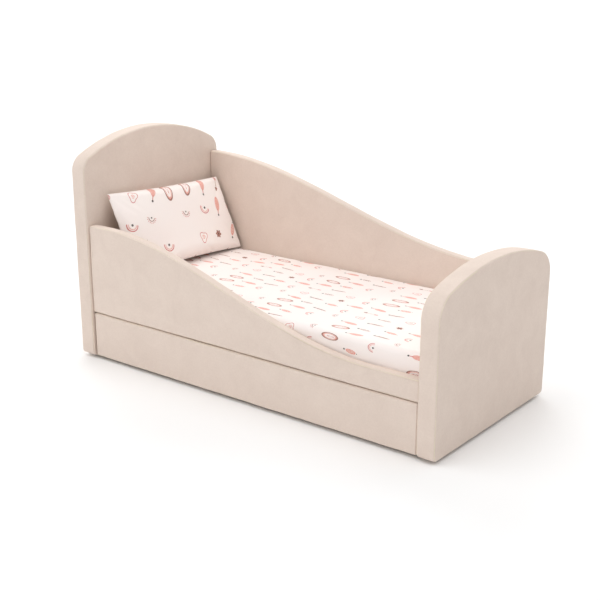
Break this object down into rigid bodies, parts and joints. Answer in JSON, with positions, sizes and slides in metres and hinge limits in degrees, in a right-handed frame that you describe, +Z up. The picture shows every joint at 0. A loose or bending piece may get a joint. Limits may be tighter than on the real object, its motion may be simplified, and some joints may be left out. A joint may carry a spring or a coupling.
{
  "type": "toddler bed",
  "caption": "Upholstered toddler bed with arched head and foot boards, swept side rails, dressed mattress and pillow, and a storage drawer on castors.",
  "frame": {"origin": "middle of the bed's footprint, on the floor", "axes": "+X from the head to the foot, -Y towards the side the drawer opens on, +Z up"},
  "size_m": [1.754, 0.8, 0.944],
  "materials": {
    "velour": "brushed pale beige velour",
    "foam": "cut polyurethane foam",
    "particle_board": "raw particle board",
    "pine": "planed pine",
    "birch_plywood": "sanded birch plywood",
    "zinc_plated_steel": "zinc plated, satin",
    "grey_plastic": "moulded, matt",
    "mattress_ticking": "quilted off-white ticking",
    "printed_cotton": "pale pink printed cotton",
    "pillow_filling": "white cotton pillow"
  },
  "bodies": {
    "bed_frame": {"headboard_cover": "velour", "headboard_foam": "foam", "headboard_core": "particle_board", "footboard_cover": "velour", "footboard_foam": "foam", "footboard_core": "particle_board", "front_rail_cover": "velour", "front_rail_foam": "foam", "front_rail_core": "particle_board", "rear_rail_cover": "velour", "rear_rail_foam": "foam", "rear_rail_core": "particle_board", "front_ledger": "pine", "rear_ledger": "pine", "head_batten": "pine", "foot_batten": "pine", "slat_01": "birch_plywood", "slat_02": "birch_plywood", "slat_03": "birch_plywood", "slat_04": "birch_plywood", "slat_05": "birch_plywood", "slat_06": "birch_plywood", "slat_07": "birch_plywood", "slat_08": "birch_plywood", "slat_09": "birch_plywood", "slat_10": "birch_plywood", "bracket_head_front": "zinc_plated_steel", "bracket_head_rear": "zinc_plated_steel", "bracket_foot_front": "zinc_plated_steel", "bracket_foot_rear": "zinc_plated_steel", "mattress": "mattress_ticking", "fitted_sheet": "printed_cotton", "pillowcase": "printed_cotton", "pillow_insert": "pillow_filling", "glide_head_front": "grey_plastic", "glide_head_rear": "grey_plastic", "glide_foot_front": "grey_plastic", "glide_foot_rear": "grey_plastic"},
    "drawer": {"drawer_front_cover": "velour", "drawer_front_foam": "foam", "drawer_front_core": "particle_board", "drawer_left_side": "birch_plywood", "drawer_right_side": "birch_plywood", "drawer_back": "birch_plywood", "drawer_bottom": "birch_plywood", "castor_1_fork": "zinc_plated_steel", "castor_1_axle": "zinc_plated_steel", "castor_2_fork": "zinc_plated_steel", "castor_2_axle": "zinc_plated_steel", "castor_3_fork": "zinc_plated_steel", "castor_3_axle": "zinc_plated_steel", "castor_4_fork": "zinc_plated_steel", "castor_4_axle": "zinc_plated_steel"},
    "castor_wheel_1": {"castor_1_wheel": "grey_plastic"},
    "castor_wheel_2": {"castor_2_wheel": "grey_plastic"},
    "castor_wheel_3": {"castor_3_wheel": "grey_plastic"},
    "castor_wheel_4": {"castor_4_wheel": "grey_plastic"}
  },
  "joints": [
    {"name": "drawer_slide", "type": "slide", "parent": "bed_frame", "child": "drawer", "axis": [0, -1, 0], "range_m": [0, 0.6]},
    {"name": "castor_1_roll", "type": "hinge", "parent": "drawer", "child": "castor_wheel_1", "pos_m": [-0.7, -0.29, 0.02], "axis": [1, 0, 0], "range_deg": [0, 1720]},
    {"name": "castor_2_roll", "type": "hinge", "parent": "drawer", "child": "castor_wheel_2", "pos_m": [0.7, -0.29, 0.02], "axis": [1, 0, 0], "range_deg": [0, 1720]},
    {"name": "castor_3_roll", "type": "hinge", "parent": "drawer", "child": "castor_wheel_3", "pos_m": [-0.7, 0.27, 0.02], "axis": [1, 0, 0], "range_deg": [0, 1720]},
    {"name": "castor_4_roll", "type": "hinge", "parent": "drawer", "child": "castor_wheel_4", "pos_m": [0.7, 0.27, 0.02], "axis": [1, 0, 0], "range_deg": [0, 1720]}
  ],
  "couplings": [
    {"joint": "castor_1_roll", "follows": "drawer_slide", "rad_per_m": 50},
    {"joint": "castor_2_roll", "follows": "drawer_slide", "rad_per_m": 50},
    {"joint": "castor_3_roll", "follows": "drawer_slide", "rad_per_m": 50},
    {"joint": "castor_4_roll", "follows": "drawer_slide", "rad_per_m": 50}
  ]
}
